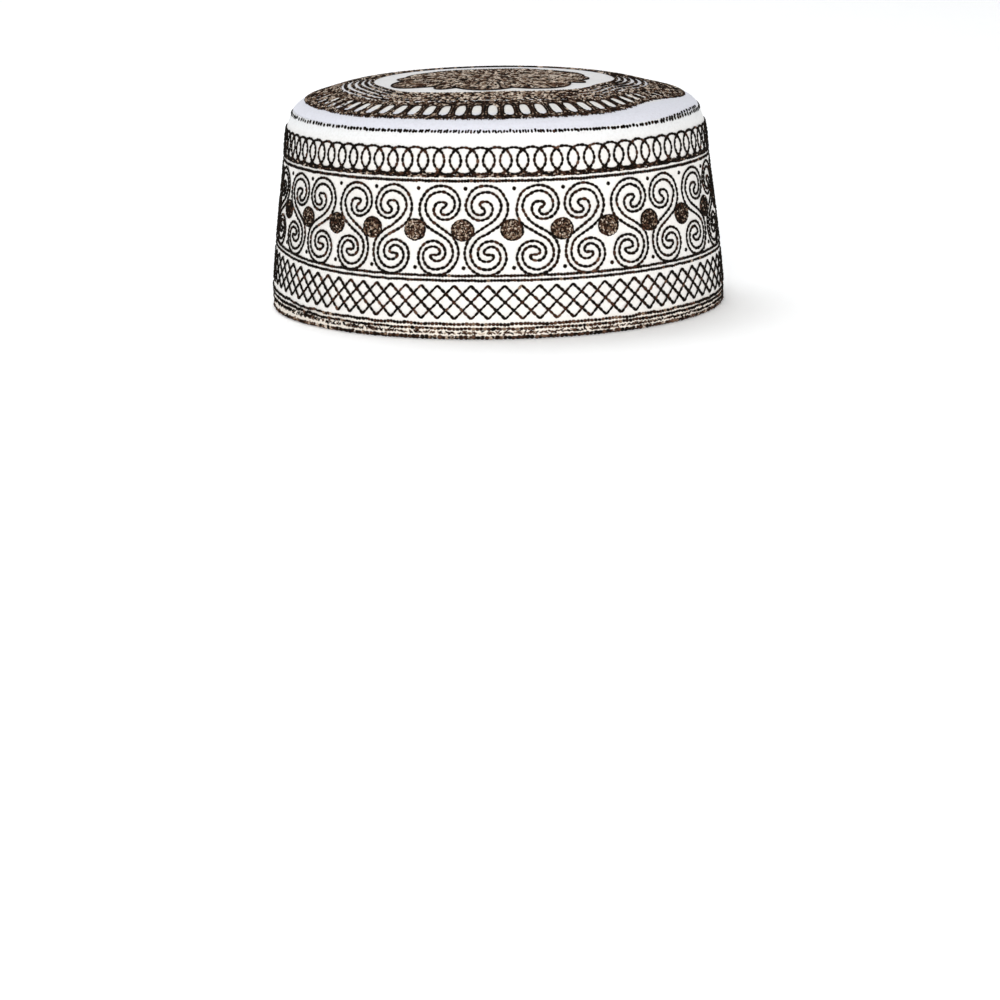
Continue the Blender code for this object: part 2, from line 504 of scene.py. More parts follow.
# Cotton: two crossed sets of fine ridges for the weave, soft patches of tone, and a tint by height: at the
# band's foot warm cream, partly stain and partly painted warm light from below; on the crown painted shade,
# darker and bluer to its margin.
# On the band, the cloth has painted cool shade near the seam, and puckers between the hem's rows.
def cottonMaterial(name, rowsUp, tint, tintFrom, tintTo, onTop):
    material, tree = newMaterial(name)
    place = readPlace(tree)
    uv = readUv(tree)
    warp = maths(tree, "MULTIPLY", uv[0], cottonLook["threadsRound"] * fullTurn)
    weft = maths(tree, "MULTIPLY", uv[1], rowsUp * fullTurn)
    ridges = maths(tree, "MULTIPLY", maths(tree, "SINE", warp), maths(tree, "SINE", weft))
    slub = noise(tree, place, cottonLook["slubScale"], 2.0, 0.6)
    cloud = noise(tree, place, cottonLook["cloudScale"], 3.0, 0.55)
    tone = rampNode(tree, cloud, [(0.35, cottonLook["shade"]), (0.62, cottonLook["white"])])
    up = addNode(tree, "SeparateXYZ", {0: place}).outputs[2]
    # The tint by height: at the band's foot stain and painted warm light, on the crown painted shade.
    share = stepUp(tree, up, tintFrom, tintTo)
    tinted = mixColor(tree, share, tone, tint)
    if onTop:
        # The slots in the crown's ring show a greyer cloth, between two plan radii: partly its cream, partly
        # painted shade in the recesses.
        flat = addNode(tree, "VectorMath", {0: place, 1: (1, 1, 0)}, operation="MULTIPLY").outputs[0]
        far = addNode(tree, "VectorMath", {0: flat}, operation="LENGTH").outputs["Value"]
        inRing = rampNode(tree, maths(tree, "MULTIPLY", far, 10.0), cottonLook["ringStops"])
        tinted = mixColor(tree, inRing, tinted, cottonLook["slotCreamAndShade"])
    else:
        # Painted cool shade on the band near the seam.
        nearSeam = stepUp(tree, up, *cottonLook["seamCoolShadeHeights"])
        tinted = mixColor(tree, nearSeam, tinted, cottonLook["seamCoolShade"])
    fleck = rampNode(tree, slub, [(0.30, cottonLook["fleck"]), (0.55, 1.0)])
    color = mixColor(tree, 1.0, tinted, fleck, "MULTIPLY")
    under = {}
    if not onTop:
        # The puckers are noise a stitch wide, fading out above the hem.
        folds = maths(tree, "MULTIPLY", noise(tree, place, cottonLook["puckerScale"], 1.0), share)
        under = dict(Normal=bumpNode(tree, folds, 0.8, cottonLook["puckerDepth"]))
    height = maths(tree, "ADD", ridges, maths(tree, "MULTIPLY", slub, 1.5))
    bump = bumpNode(tree, height, 0.5, cottonLook["weaveDepth"], **under)
    sheen = {"Sheen Weight": cottonLook["sheen"], "Sheen Roughness": 0.4}
    finishShader(tree, color, cottonLook["roughness"], cottonLook["gloss"], Normal=bump, **sheen)
    return material


threadLook = dict(
    # The tan tones, the last ones, are partly white cloth between stitches and partly painted highlights on
    # the glossy thread.
    tones=[
        (0.006, 0.0045, 0.0035), (0.011, 0.007, 0.0045), (0.026, 0.012, 0.007), (0.056, 0.025, 0.015),
        (0.125, 0.067, 0.043), (0.25, 0.172, 0.117), (0.48, 0.38, 0.295), (0.74, 0.64, 0.54),
    ],
    plyShade=(0.55, 0.53, 0.52),
    plyHighlight=1.12,
    roughness=0.72,
    gloss=0.03,
    twists=3.0,
    twistDepth=0.05,
)


# Thread: the tone comes from the lane of the UV map, the twist from slanting ridges along the grain, bumped
# and with painted shade in the grooves and a painted highlight on the ridges.
def threadMaterial(name):
    material, tree = newMaterial(name)
    uv = readUv(tree)
    stops = [(i / 8, c) for i, c in enumerate(threadLook["tones"])]
    tone = rampNode(tree, uv[1], stops, "CONSTANT")
    twisted = maths(tree, "MULTIPLY", uv[0], threadLook["twists"])
    slant = maths(tree, "ADD", twisted, maths(tree, "MULTIPLY", uv[1], 8.0))
    wave = maths(tree, "SINE", maths(tree, "MULTIPLY", slant, fullTurn))
    ply = maths(tree, "MULTIPLY_ADD", wave, 0.5, 0.5)
    # Painted shade in the plies' grooves and a painted highlight on their ridges.
    plyShade = rampNode(tree, ply, [(0.0, threadLook["plyShade"]), (0.6, threadLook["plyHighlight"])])
    color = mixColor(tree, 1.0, tone, plyShade, "MULTIPLY")
    bump = bumpNode(tree, ply, 0.6, threadLook["twistDepth"])
    finishShader(tree, color, threadLook["roughness"], threadLook["gloss"], Normal=bump)
    return material


fillLook = dict(
    ground=(0.016, 0.008, 0.0045),
    brown=(0.10, 0.052, 0.032),
    # The tan flecks are partly painted highlights on the glossy thread.
    fleck=(0.45, 0.36, 0.28),
    fleckSize=1.3,
    cloudScale=260.0,
    roughness=0.75,
    gloss=0.06,
    depth=0.2,
)


# Close filling under the top stitches: dark brown ground broken by tan flecks a stitch long, the flecks
# partly painted highlights.
def fillMaterial(name):
    material, tree = newMaterial(name)
    place = readPlace(tree)
    grain = maths(tree, "MULTIPLY", noise(tree, place, 1000.0 / fillLook["fleckSize"], 1.5, 0.6), 0.8)
    cloud = maths(tree, "MULTIPLY", noise(tree, place, fillLook["cloudScale"], 2.0), 0.2)
    both = maths(tree, "ADD", grain, cloud)
    stops = [(0.42, fillLook["ground"]), (0.52, fillLook["brown"]), (0.63, fillLook["fleck"])]
    bump = bumpNode(tree, both, 0.7, fillLook["depth"])
    finishShader(tree, rampNode(tree, both, stops), fillLook["roughness"], fillLook["gloss"], Normal=bump)
    return material


bandCotton = cottonMaterial(
    "band cotton", rowsUp=200, tint=cottonLook["hemStainAndWarmLight"], tintFrom=8.5, tintTo=4.0, onTop=False,
)
# The crown's tint is painted shade.
crownCotton = cottonMaterial(
    "crown cotton", rowsUp=240, tint=cottonLook["crownMarginShade"], tintFrom=96.0, tintTo=85.0, onTop=True,
)
darkThread = threadMaterial("dark thread")
closeFill = fillMaterial("close filling")
print("materials ready")


# A face of revolution: each profile point (radius, height) carried round, radius times (sin a, -cos a).
# The profile is closed, and the UV is (share of the turn, share of the profile).
def turnedShell(name, profile, material, bend=None, steps=360):
    rows = len(profile)
    angle = evenly(steps) * fullTurn
    radius, height = profile[:, None, 0], profile[:, None, 1]
    points = np.stack([radius * np.sin(angle), -radius * np.cos(angle), height * np.ones(steps)], -1)
    if bend is not None:
        points = bend(points)
    i, j = np.meshgrid(np.arange(rows), np.arange(steps), indexing="ij")
    k, m = (i + 1) % rows, (j + 1) % steps
    quads = np.stack([i * steps + j, k * steps + j, k * steps + m, i * steps + m], -1).reshape(-1, 4)
    run = runAlong(closedLine(profile))
    run = run / run[-1]
    u0, u1 = j / steps, (j + 1) / steps
    uvs = np.stack([u0, run[i], u0, run[i + 1], u1, run[i + 1], u1, run[i]], -1).reshape(-1, 2)
    piece = intoMesh(name, points.reshape(-1, 3), quads, material, uvs=uvs)
    work = bmesh.new()
    work.from_mesh(piece.data)
    bmesh.ops.remove_doubles(work, verts=work.verts, dist=1e-6)
    bmesh.ops.recalc_face_normals(work, faces=work.faces)
    work.to_mesh(piece.data)
    work.free()
    print(f"{name}: {len(piece.data.polygons)} faces")
    return piece


# The crown's drift and slump, the same as for the stitches that lie on it.
def settleCrown(points):
    radius = np.hypot(points[..., 0], points[..., 1])
    away = np.maximum(radius, 1e-6)
    drift, sunk = crownSlump(radius, points[..., 0] / away, -points[..., 1] / away)
    return points - np.stack([drift, np.zeros_like(drift), sunk], -1)


# Both shells have an inner face of every third point, moved in by the wall.
inHem, onWall, atSeam = np.linspace(1.5, 8.5, 30), np.linspace(8.5, 78, 50), np.linspace(78, 81.5, 8)
heights = np.concatenate([inHem[:-1], onWall[:-1], atSeam])
outerBand = np.stack([bandRadius(heights), heights], -1)
innerBand = outerBand[::3] - np.array([capMake["bandWall"], 0.0])
bandProfile = np.concatenate([outerBand, innerBand[::-1]])
bandCloth = turnedShell("band_cloth", bandProfile, bandCotton)
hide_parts("side_band")

radii = np.concatenate([np.linspace(0, 78, 60)[:-1], np.linspace(78, 83.9, 14)])
outerCrown = np.stack([radii, crownTop(radii)], -1)
innerCrown = outerCrown[::3] - np.array([0.0, capMake["crownWall"]])
innerCrown[:, 0] = np.minimum(innerCrown[:, 0], capMake["crownInside"])
crownProfile = np.concatenate([outerCrown[::-1], innerCrown])
crownCloth = turnedShell("crown_cloth", crownProfile, crownCotton, settleCrown)
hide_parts("crown")
print("cotton shells ready")

roundHem = fullTurn * capMake["meanRadius"]


# Plain rows of stitches all the way round the band, the last hole on the first.
def bandRows(look):
    grains = []
    for height, pitch, width in zip(look["heights"], look["pitches"], look["widths"]):
        line = np.stack([np.linspace(0.5, 1.5, 600) * roundHem, np.full(600, float(height))], -1)
        holes = holesAlong(line, pitch)
        holes = holes + dice.normal(0, look["slip"], holes.shape)
        holes[:, 1] += look["zigzag"] * byTurns(len(holes))
        holes[-1] = holes[0] + np.array([roundHem, 0])
        grains.append(sew(onBand, holes[:-1], holes[1:], width, sides=4, **look["stitch"]))
    return grains


# Overlapping loops below the seam: ovals with narrower feet, over a dense dark border.
loopRow = dict(
    count=80, height=70.3, halfWidth=5.95, halfHeight=5.35, topSquareness=2.1, footSquareness=1.65,
    firstAt=0.28, pitch=2.0, slip=0.07,
    stitch=dict(width=1.27, thick=0.75, tones=(4, 4, 2.2, 0.9, 0.2)),
)
angles = np.linspace(0, fullTurn, 200)
squareness = np.where(np.cos(angles) > 0, loopRow["topSquareness"], loopRow["footSquareness"])
loop = oval(angles, loopRow["halfWidth"], loopRow["halfHeight"], squareness)
loop = loop + np.array([0.0, loopRow["height"]])
places = (evenly(loopRow["count"]) + loopRow["firstAt"] / 360) * roundHem
holes = repeatHoles(holesAlong(loop, loopRow["pitch"]), places, loopRow["slip"], closed=True)
loopGrains = sew(onBand, *holes, **loopRow["stitch"])

# Short stitches fill the wedge under each crossing: a triangle that narrows upwards.
wedge = dict(
    stitches=9, foot=65.5, rise=1.25, halfWidth=2.3, slant=1.0,
    stitch=dict(length=0.9, width=0.55, thick=0.45, sides=4, tones=(2.5, 2.5, 2, 1.5, 1, 1.2, 2, 1.5)),
)
count = loopRow["count"] * wedge["stitches"]
up = dice.uniform(0, 1, count) ** 1.5
aside = (1 - up) * dice.uniform(-wedge["halfWidth"], wedge["halfWidth"], count)
crossings = np.repeat(places + roundHem / loopRow["count"] / 2, wedge["stitches"])
middle = np.stack([aside + crossings, wedge["foot"] + wedge["rise"] * up], -1)
lie = dice.uniform(-wedge["slant"], wedge["slant"], count)
wedgeGrains = sewShort(onBand, middle, lie, **wedge["stitch"])

borderRows = dict(
    heights=(64.35, 64.9, 65.45), pitches=(1.05, 1.05, 1.05), widths=(0.82, 0.82, 0.82),
    slip=0.14, zigzag=0.12,
    stitch=dict(thick=0.55, overlap=0.1, tones=(3, 3, 3, 2.4, 1.6, 1.2, 1.3, 0.8)),
)
sewPiece("loop_border", [loopGrains, wedgeGrains, *bandRows(borderRows)], "band_cloth")

lineRows = dict(
    heights=(62.6, 25.45, 23.6), pitches=(1.3, 1.3, 1.3), widths=(1.35, 1.25, 1.25), slip=0.1, zigzag=0.12,
    stitch=dict(thick=0.55, overlap=0.1, tones=(4, 4, 3, 2, 0.8, 0.4, 0.2)),
)
sewPiece("guide_lines", bandRows(lineRows), "band_cloth")

# Scrolls: a band of two lines that rolls into a spiral above and another below.
# The radii are taken each quarter turn, from where the diagonal meets the spiral inwards.
scroll = dict(
    count=28, height=42.95, firstAt=-4.1, pitch=2.05, slip=0.09, widen=1.03, lean=0.03, leanFrom=47.0,
    stitch=dict(width=1.32, thick=0.75, tones=(4, 4.5, 2.6, 0.9, 0.2)),
    upperCentre=(-1.1, 9.3), lowerCentre=(0.95, -9.4),
    upperOuter=(9.2, 8.55, 7.5, 4.8, 3.2, 2.2), upperInner=(6.8, 6.15, 5.3, 2.7),
    lowerOuter=(9.4, 8.05, 6.8, 5.45, 4.35, 2.45, 2.15), lowerInner=(7.25, 5.75, 4.65, 3.35, 2.15),
    upperHeart=[(-3.55, 10.4), (-2.8, 9.6), (-1.8, 8.95), (-0.7, 8.35), (-0.55, 7.6)],
    lowerHeart=[(0.1, -9.3), (1.3, -9.5), (2.2, -9.05)],
    nearDiagonal=[
        (7.0, 4.6), (5.8, 2.8), (3.9, 1.35), (1.9, 0.1), (0.0, -1.1), (-2.0, -2.2), (-3.9, -3.5),
        (-5.3, -5.1),
    ],
    farDiagonal=[
        (4.6, 6.6), (3.5, 4.7), (1.8, 3.2), (-0.1, 2.0), (-2.1, 0.7), (-4.1, -0.6), (-6.0, -2.1),
        (-7.3, -3.8),
    ],
)


# Spiral points: centre + r (cos, sin), r smoothed over the quarter turns, the angle going on by 45.
def spiralMarks(centre, radii, firstAngle):
    at = np.arange(0, len(radii) - 0.99, 0.5)
    r = smoothThrough(list(enumerate(radii)), at)
    angle = np.radians(firstAngle + 90 * at)
    return np.stack([centre[0] + r * np.cos(angle), centre[1] + r * np.sin(angle)], -1)


scrollMarks = np.concatenate(
    [
        spiralMarks(scroll["upperCentre"], scroll["upperOuter"], 0)[::-1], scroll["nearDiagonal"],
        spiralMarks(scroll["lowerCentre"], scroll["lowerInner"], 180), scroll["lowerHeart"],
        spiralMarks(scroll["lowerCentre"], scroll["lowerOuter"], 180)[::-1], scroll["farDiagonal"][::-1],
        spiralMarks(scroll["upperCentre"], scroll["upperInner"], 0), scroll["upperHeart"][::-1],
    ]
)
scrollHoles = holesAlong(closedCurve(scrollMarks, 900), scroll["pitch"])
scrollHoles[:, 1] += scroll["height"]
places = scroll["firstAt"] + evenly(scroll["count"]) * roundHem
holes = np.broadcast_to(scrollHoles, (scroll["count"], *scrollHoles.shape)).copy()
# Every other scroll faces the other way, and all of them lean a little.
holes[..., 0] *= byTurns(scroll["count"])[:, None] * scroll["widen"]
holes[..., 0] += scroll["lean"] * (holes[..., 1] - scroll["leanFrom"])
holes = repeatHoles(holes, places, scroll["slip"], closed=True)
sewPiece("scrolls", [sew(onBand, *holes, **scroll["stitch"])], "band_cloth")

# Discs between the scrolls: a dark rim of stitches round a cushion with crossing short stitches.
disc = dict(
    count=28, height=43.35, firstAt=-14.1, halfWidth=4.75, halfHeight=4.28, padSize=0.97,
    padShares=(0.0, 0.35, 0.65, 0.85, 0.96, 1.0), padLifts=(1.0, 1.0, 0.97, 0.85, 0.45, -0.3), padHeight=0.28,
    rimSize=0.94, rimPitch=1.35, rimSlip=0.09, fillCount=150, fillReach=0.86, fillSlant=0.8,
    rim=dict(width=0.9, thick=0.55, lift=0.1, tones=(3, 4, 4, 3, 1, 0.4)),
    fill=dict(
        length=1.05, width=0.62, thick=0.5, sides=4, lift=0.27,
        tones=(1.8, 2.2, 3.0, 3.0, 2.3, 3.1, 2.6, 1.1),
    ),
)
discAt = disc["firstAt"] + evenly(disc["count"]) * roundHem
toDisc = np.array([0.0, disc["height"]])
rim = oval(evenly(26) * fullTurn, disc["halfWidth"], disc["halfHeight"])
pad = rim * disc["padSize"] * np.array(disc["padShares"])[:, None, None] + toDisc
padLift = np.array(disc["padLifts"])[:, None] * disc["padHeight"]
padPiece("disc_pads", onBand, discAt, pad, padLift, "band_cloth")
holes = holesAlong(closedLine(rim) * disc["rimSize"], disc["rimPitch"]) + toDisc
rimGrains = sew(onBand, *repeatHoles(holes, discAt, disc["rimSlip"], closed=True), **disc["rim"])
count = disc["count"] * disc["fillCount"]
far = np.sqrt(dice.uniform(0, 1, count)) * disc["fillReach"]
spin = dice.uniform(0, fullTurn, count)
middle = far[:, None] * oval(spin, disc["halfWidth"], disc["halfHeight"]) + toDisc
middle[:, 0] += np.repeat(discAt, disc["fillCount"])
fillGrains = sewShort(onBand, middle, dice.normal(0, disc["fillSlant"], count) - spin, **disc["fill"])
# Dots above and below the discs: two short stitches crossed.
dots = dict(
    heights=(59.6, 28.5), toRight=(1.2, 0.4), lies=(0.35, 1.9),
    stitch=dict(length=1.5, width=1.4, thick=0.6, tones=(4, 3, 1)),
)
dotGrains = [
    sewShort(onBand, np.stack([discAt + toRight, np.full_like(discAt, height)], -1), lie, **dots["stitch"])
    for height, toRight in zip(dots["heights"], dots["toRight"])
    for lie in dots["lies"]
]
sewPiece("discs_and_dots", [rimGrains, fillGrains, *dotGrains], "band_cloth")

# Lattice: slanting runs both ways, each rising from a foot to a peak over two pitches.
lattice = dict(
    count=84, foot=8.35, peak=21.6, firstAt=1.6, pitch=2.0, slip=0.05, widths=(1.0, 1.2),
    stitch=dict(thick=0.7, sides=4, bolder=0.4, overlap=0.26, tones=(3, 3.6, 3, 1.8, 0.5, 0.1)),
)
spacing = roundHem / lattice["count"]
places = (evenly(lattice["count"]) + lattice["firstAt"] / 360) * roundHem
latticeGrains = []
for side, width in zip((-1, 1), lattice["widths"]):
    line = np.array([[0, lattice["peak"]], [side * 2 * spacing, lattice["foot"]]])
    holes = repeatHoles(holesAlong(line, lattice["pitch"]), places, lattice["slip"])
    latticeGrains.append(sew(onBand, *holes, width, **lattice["stitch"]))
sewPiece("lattice", latticeGrains, "band_cloth")

# Hem: two plain rows, and below them a loose one of short thin stitches that slant either way.
hemRows = dict(
    heights=(6.25, 4.5), pitches=(1.5, 1.55), widths=(1.38, 1.42), slip=0.2, zigzag=0.12,
    stitch=dict(thick=0.7, overlap=0.06, tones=(0.5, 1.8, 5, 6, 3.4, 1.5, 0.6, 0.25)),
)
loose = dict(
    count=1250, height=2.9, scatter=0.26, slant=0.6, slantScatter=0.25,
    stitch=dict(length=1.3, width=0.58, thick=0.5, sides=4, tones=(0.5, 1.2, 3.2, 4.2, 3.2, 1.8, 1.0, 0.5)),
)
hemGrains = bandRows(hemRows)
count = loose["count"]
at = dice.uniform(0, roundHem, count)
middle = np.stack([at, loose["height"] + dice.normal(0, loose["scatter"], count)], -1)
lie = dice.choice([-loose["slant"], loose["slant"]], count) + dice.normal(0, loose["slantScatter"], count)
hemGrains.append(sewShort(onBand, middle, lie, **loose["stitch"]))
sewPiece("hem_rows", hemGrains, "band_cloth")

# Seam: short slanting dashes that catch the crown to the band, doubled for a stretch on the right.
seam = dict(
    count=296, unevenness=0.2, height=81.6, heightScatter=0.1, length=1.55, lengthShares=(0.75, 1.1),
    lean=34.0, leanScatter=9, width=0.95, bolder=0.35, sideWidth=0.9,
    sag=0.85, sagAt=0.8, sagWidth=0.42, lift=0.03, sideLift=0.16,
    doubledFrom=52.0, partedAt=68.0, doubledTo=80.0, doubledAbove=1.3, doubledAside=0.6, doubledShare=0.78,
    stitch=dict(thick=0.34, overlap=0.0, tones=(6, 3, 1, 0.2)),
)
count = seam["count"]
# They stand closer in front and behind than at the sides: as 0.35 + 0.65 cos^2 of the angle.
turned = np.linspace(0, fullTurn, 4001)
crowd = np.cumsum(0.35 + 0.65 * np.cos(turned) ** 2)
at = nearlyEvenly(count, seam["unevenness"]) * crowd[-1]
turned = np.interp(at, crowd, turned)
# They lean outwards on both sides of the front, and in the middle by turns left and right.
outwards = np.clip(np.sin(turned) * 3, -1, 1)
lean = seam["lean"] * (outwards + byTurns(count) * (1 - np.abs(outwards)))
tilt = np.radians(90 + lean + dice.normal(0, seam["leanScatter"], count))
length = seam["length"] * dice.uniform(*seam["lengthShares"], count)
heights = seam["height"] + dice.normal(0, seam["heightScatter"], count)
middle = np.stack([turned * capMake["meanRadius"], heights], -1)
# The second row parts from the first slowly, up to an angle.
turned = np.degrees(turned)
doubled = (turned > seam["doubledFrom"]) & (turned < seam["doubledTo"])
parted = shareOfWay(turned[doubled], seam["doubledFrom"], seam["partedAt"])
above = seam["doubledAbove"] * (0.45 + 0.55 * parted)
beside = middle[doubled] + np.stack([np.full_like(above, seam["doubledAside"]), above], -1)
middle = np.concatenate([middle, beside])
tilt = np.concatenate([tilt, tilt[doubled]])
length = np.concatenate([length, length[doubled] * seam["doubledShare"]])


# Point on the seam, which sags on the right; the normal leans up by 0.8.
def onSeam(along, height, lift=0.0):
    angle = along / capMake["meanRadius"]
    sag = seam["sag"] * bell(angle % fullTurn, seam["sagAt"], seam["sagWidth"])
    height = hung(angle, height) - sag
    normal = np.stack([np.sin(angle), -np.cos(angle), np.full_like(angle, 0.8)], -1) / 1.281
    return lifted(smoothThrough(seamFace, height), angle, height, normal, lift)


toSide = np.sin(middle[:, 0] / capMake["meanRadius"])
bolder = seam["bolder"] * np.clip(np.abs(toSide) * 3 - 0.4, 0, 1) + seam["sideWidth"] * toSide**2
make = dict(width=seam["width"] * (1 + bolder), lift=seam["lift"] + seam["sideLift"] * toSide**2)
sewPiece("seam_stitches", [sewShort(onSeam, middle, tilt, length, **make, **seam["stitch"])], "crown_cloth")
print("band stitched")

# Hem edging: a round bound edge wrapped by slanting dark stitches, from one angle of its section to another.
edging = dict(
    radius=92.95, halfWidth=0.9765, height=1.1, halfHeight=0.42,
    count=330, unevenness=0.2, slant=0.9, scatter=11,
    wraps=((75.0, 5.0), (15.0, -55.0), (-50.0, -120.0), (110.0, 175.0), (180.0, 235.0)),
    widths=(1.45, 1.95), lifts=(-0.1, 0.25),
    stitch=dict(thick=0.6, sides=4, tones=(2, 3, 5, 4.5, 2.4, 1.0, 0.4, 0.1)),
)


# The edge's section, an ellipse: plan radius and height at an angle round it.
def edgeSection(turn):
    radius = edging["radius"] + edging["halfWidth"] * np.cos(turn)
    return radius, edging["height"] + edging["halfHeight"] * np.sin(turn)


# Point on the bound edge: along is the angle in degrees, across the angle round its section.
def onEdging(along, across, lift=0.0):
    angle, turn = np.radians(along), np.radians(across)
    radius, height = edgeSection(turn)
    normal = np.stack([np.cos(turn) * np.sin(angle), -np.cos(turn) * np.cos(angle), np.sin(turn)], -1)
    return lifted(radius, angle, height, normal, lift)


wraps = []
count = edging["count"]
for low, high in edging["wraps"]:
    at = nearlyEvenly(count, edging["unevenness"]) * 360
    start = np.stack([at, low + dice.normal(0, edging["scatter"], count)], -1)
    end = np.stack([at + edging["slant"], high + dice.normal(0, edging["scatter"], count)], -1)
    make = dict(width=dice.uniform(*edging["widths"], count), lift=dice.uniform(*edging["lifts"], count))
    wraps.append(sew(onEdging, start, end, **make, **edging["stitch"]))
edgePiece = sewPiece("hem_overlock", wraps, "edge_thread")
edgeProfile = np.stack(edgeSection(np.linspace(0, fullTurn, 13)[:-1]), -1)
turnedShell("hem_core", edgeProfile, bandCotton)
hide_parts("hem_edging")
print("hem bound")


# A share that goes from one value at the sides to another in front and behind, as cos^2 of the angle.
def darkBetween(atSides, inFront):
    return lambda places: atSides + (inFront - atSides) * np.cos(np.radians(places[:, 0])) ** 2


# The share of dark stitches in the rows, painted shade at the sides and behind: sin^4 of the angle, or cos^4
# behind.
def ringSideShade(places):
    angle = np.radians(places[:, 0])
    return crownRing["ringSideShade"] * np.maximum(np.sin(angle) ** 4, (-np.cos(angle)).clip(0) ** 4)


# At the sides loose stitches stray over the slots.
def nearSides(along, radius):
    return dice.uniform(0, 1, len(along)) < (np.abs(np.sin(np.radians(along))) * 5 - 3.9).clip(0)


# Crown: a flecked border, radial slots, a thin white ring, five dark rings and the medallion.
borderTones = (1.5, 2, 2.6, 2.6, 1.8, 2.6, 3.4, 3)
crownRing = dict(
    outer=78.0, inner=63.3, slots=70, slotAt=-0.8, slotOuter=76.0, slotInner=67.6, slotWidth=3.7,
    slotSquareness=3.1, laceShares=(-0.03, 0.06, 0.3, 0.65, 1.0), laceLifts=(-0.15, 0.12, 0.2, 0.2, 0.2),
    # The rows' painted shade at the sides and behind: the share of their stitches drawn dark there.
    zigzag=0.16, ringSideShade=0.75,
    edge=dict(
        radius=77.5, pitch=1.45, slip=0.14, width=1.0, thick=0.42, lift=0.2,
        tones=(4, 4, 3, 2, 0.8, 0.6, 0.3),
    ),
    border=dict(
        inner=76.1, outer=78.0, count=1700, lie=45, spread=50, length=1.4, width=0.8, thick=0.45, lift=0.18,
        tones=borderTones, darkened=darkBetween(0.24, 0.80),
    ),
    inside=dict(
        inner=63.6, outer=67.4, count=2300, lie=70, spread=35, length=1.3, width=0.75, thick=0.45, lift=0.18,
        tones=(1.5, 2, 3, 3, 1.4, 2.2, 3.4, 3.2), darkened=darkBetween(0.144, 0.48),
    ),
    ragged=dict(
        inner=77.6, outer=78.5, count=900, lie=20, spread=30, length=1.1, width=0.5, thick=0.4, lift=0.12,
        tones=(3, 3, 3, 2, 1, 0.5),
    ),
    strays=dict(
        inner=67.5, outer=75.5, count=1800, lie=90, spread=40, length=1.2, width=0.75, thick=0.35, lift=0.1,
        tones=borderTones, keep=nearSides,
    ),
    barPast=0.3, barPitch=1.75, rimPitch=1.7, rimOutwards=0.42, runSlip=(0.06, 0.12), runWidths=(0.95, 0.85),
    run=dict(thick=0.42, sides=4, lift=0.17, tones=borderTones, darkened=darkBetween(0.62, 0.98)),
)
slotTurn = 360 / crownRing["slots"]
slotMiddle = (crownRing["slotOuter"] + crownRing["slotInner"]) / 2
slotSize = np.array([crownRing["slotWidth"], crownRing["slotOuter"] - crownRing["slotInner"]]) / 2
toDegrees = np.array([radian / slotMiddle, 1.0])
slotAngles = crownRing["slotAt"] + np.arange(crownRing["slots"]) * slotTurn

# Each cell of the lace runs from a slot's rim to the cell's edge, its outermost part tucked down.
# The edge is the direction scaled until it meets the side or the end of the cell.
angles = evenly(36) * fullTurn
slotOval = oval(angles, *slotSize, crownRing["slotSquareness"])
sine, cosine = np.sin(angles), np.cos(angles)
square = np.minimum(1 / np.maximum(np.abs(sine), 1e-9), 1 / np.maximum(np.abs(cosine), 1e-9))
tall = np.where(cosine >= 0, crownRing["outer"] - slotMiddle, slotMiddle - crownRing["inner"])
hole = slotOval * toDegrees
cell = np.stack([sine * square * slotTurn / 2, cosine * square * tall], -1)
lace = hole + (cell - hole) * np.array(crownRing["laceShares"])[:, None, None]
lace[..., 1] += slotMiddle
edgeDrop = shareOfWay(np.abs(lace[..., 1] - (crownRing["outer"] + crownRing["inner"]) / 2), 6.95, 7.35)
lift = np.array(crownRing["laceLifts"])[:, None] * (1 - edgeDrop) - 0.1 * edgeDrop
padPiece("crown_lace", onCrown, slotAngles, lace, lift, "crown_cloth", flipped=False)


# Short stitches scattered over a ring of the crown: their lie is the angle from the radius.
def scatterRing(inner, outer, count, lie, spread, length, keep=None, **stitch):
    radius = np.sqrt(dice.uniform(inner**2, outer**2, count))
    along = dice.uniform(0, 360, count)
    if keep is not None:
        good = keep(along, radius)
        along, radius = along[good], radius[good]
    lie = np.radians(lie + dice.normal(0, spread, len(along)))
    half = np.stack([np.sin(lie) * length / 2 / radius * radian, np.cos(lie) * length / 2], -1)
    middle = np.stack([along, radius], -1)
    return sew(onCrown, middle - half, middle + half, sides=4, **stitch)


scattered = [scatterRing(**crownRing[name]) for name in ("border", "inside", "ragged")]
# A run goes down the middle of each bar, and another goes round each slot just outside its rim.
barEnds = crownRing["slotInner"] - crownRing["barPast"], crownRing["slotOuter"] + crownRing["barPast"]
barLine = np.array([[0.0, end] for end in barEnds])
rimLine = closedLine(slotOval) * (slotSize + crownRing["rimOutwards"]) / slotSize
rimLine[:, 1] += slotMiddle
runs = []
barHoles = holesAlong(barLine, crownRing["barPitch"]) * toDegrees
rimHoles = holesAlong(rimLine, crownRing["rimPitch"]) * toDegrees
barAngles = slotAngles + slotTurn / 2
for holes, places, width in zip((barHoles, rimHoles), (barAngles, slotAngles), crownRing["runWidths"]):
    holes = repeatHoles(holes, places, np.array(crownRing["runSlip"]))
    runs.append(sew(onCrown, *holes, width, **crownRing["run"]))
scattered.append(scatterRing(**crownRing["strays"]))


# A closed run of stitches round the crown at a plan radius.
def crownRow(radius, pitch, slip, **stitch):
    steps = int(round(fullTurn * radius / pitch))
    along = np.linspace(0, 360, steps + 1) + dice.uniform(0, 5)
    across = radius + dice.normal(0, slip, steps + 1) + crownRing["zigzag"] * byTurns(steps + 1)
    along = along + dice.normal(0, slip, steps + 1) / radius * radian
    across[-1], along[-1] = across[0], along[0] + 360
    holes = np.stack([along, across], -1)
    return sew(onCrown, holes[:-1], holes[1:], sides=4, darkened=ringSideShade, **stitch)


